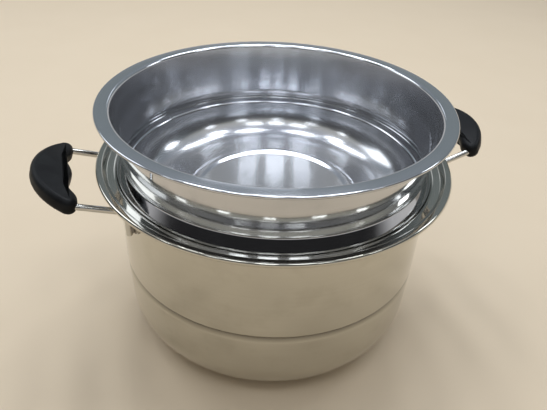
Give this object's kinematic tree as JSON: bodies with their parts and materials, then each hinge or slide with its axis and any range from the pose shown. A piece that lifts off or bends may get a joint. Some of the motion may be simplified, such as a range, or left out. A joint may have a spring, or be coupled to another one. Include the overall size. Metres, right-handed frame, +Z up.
{
  "type": "steamer pot",
  "caption": "Round two-handled stainless steel pot with a rolled rim, and a lift-out flanged steaming tier seated in its mouth.",
  "frame": {"origin": "centre of the flat base that the pot stands on", "axes": "+X towards the right handle, +Z up through the mouth, -Y the front"},
  "size_m": [0.387, 0.294, 0.2134],
  "materials": {
    "pot_steel": "mirror-polished stainless steel sheet",
    "tier_steel": "bright-polished stainless steel sheet",
    "wire_steel": "bright drawn stainless steel wire",
    "plate_steel": "polished stainless steel plate",
    "grip_black": "black moulded heat-resistant plastic with a soft sheen"
  },
  "bodies": {
    "pot": {"pot_shell": "pot_steel", "handle_wire_right": "wire_steel", "handle_wire_left": "wire_steel", "plate_right_front": "plate_steel", "plate_right_back": "plate_steel", "plate_left_front": "plate_steel", "plate_left_back": "plate_steel", "grip_right": "grip_black", "grip_left": "grip_black"},
    "tier": {"steamer_tier": "tier_steel"}
  },
  "joints": [
    {"name": "tier_lift", "type": "slide", "parent": "pot", "child": "tier", "axis": [0, 0, 1], "range_m": [0, 0.08]}
  ]
}
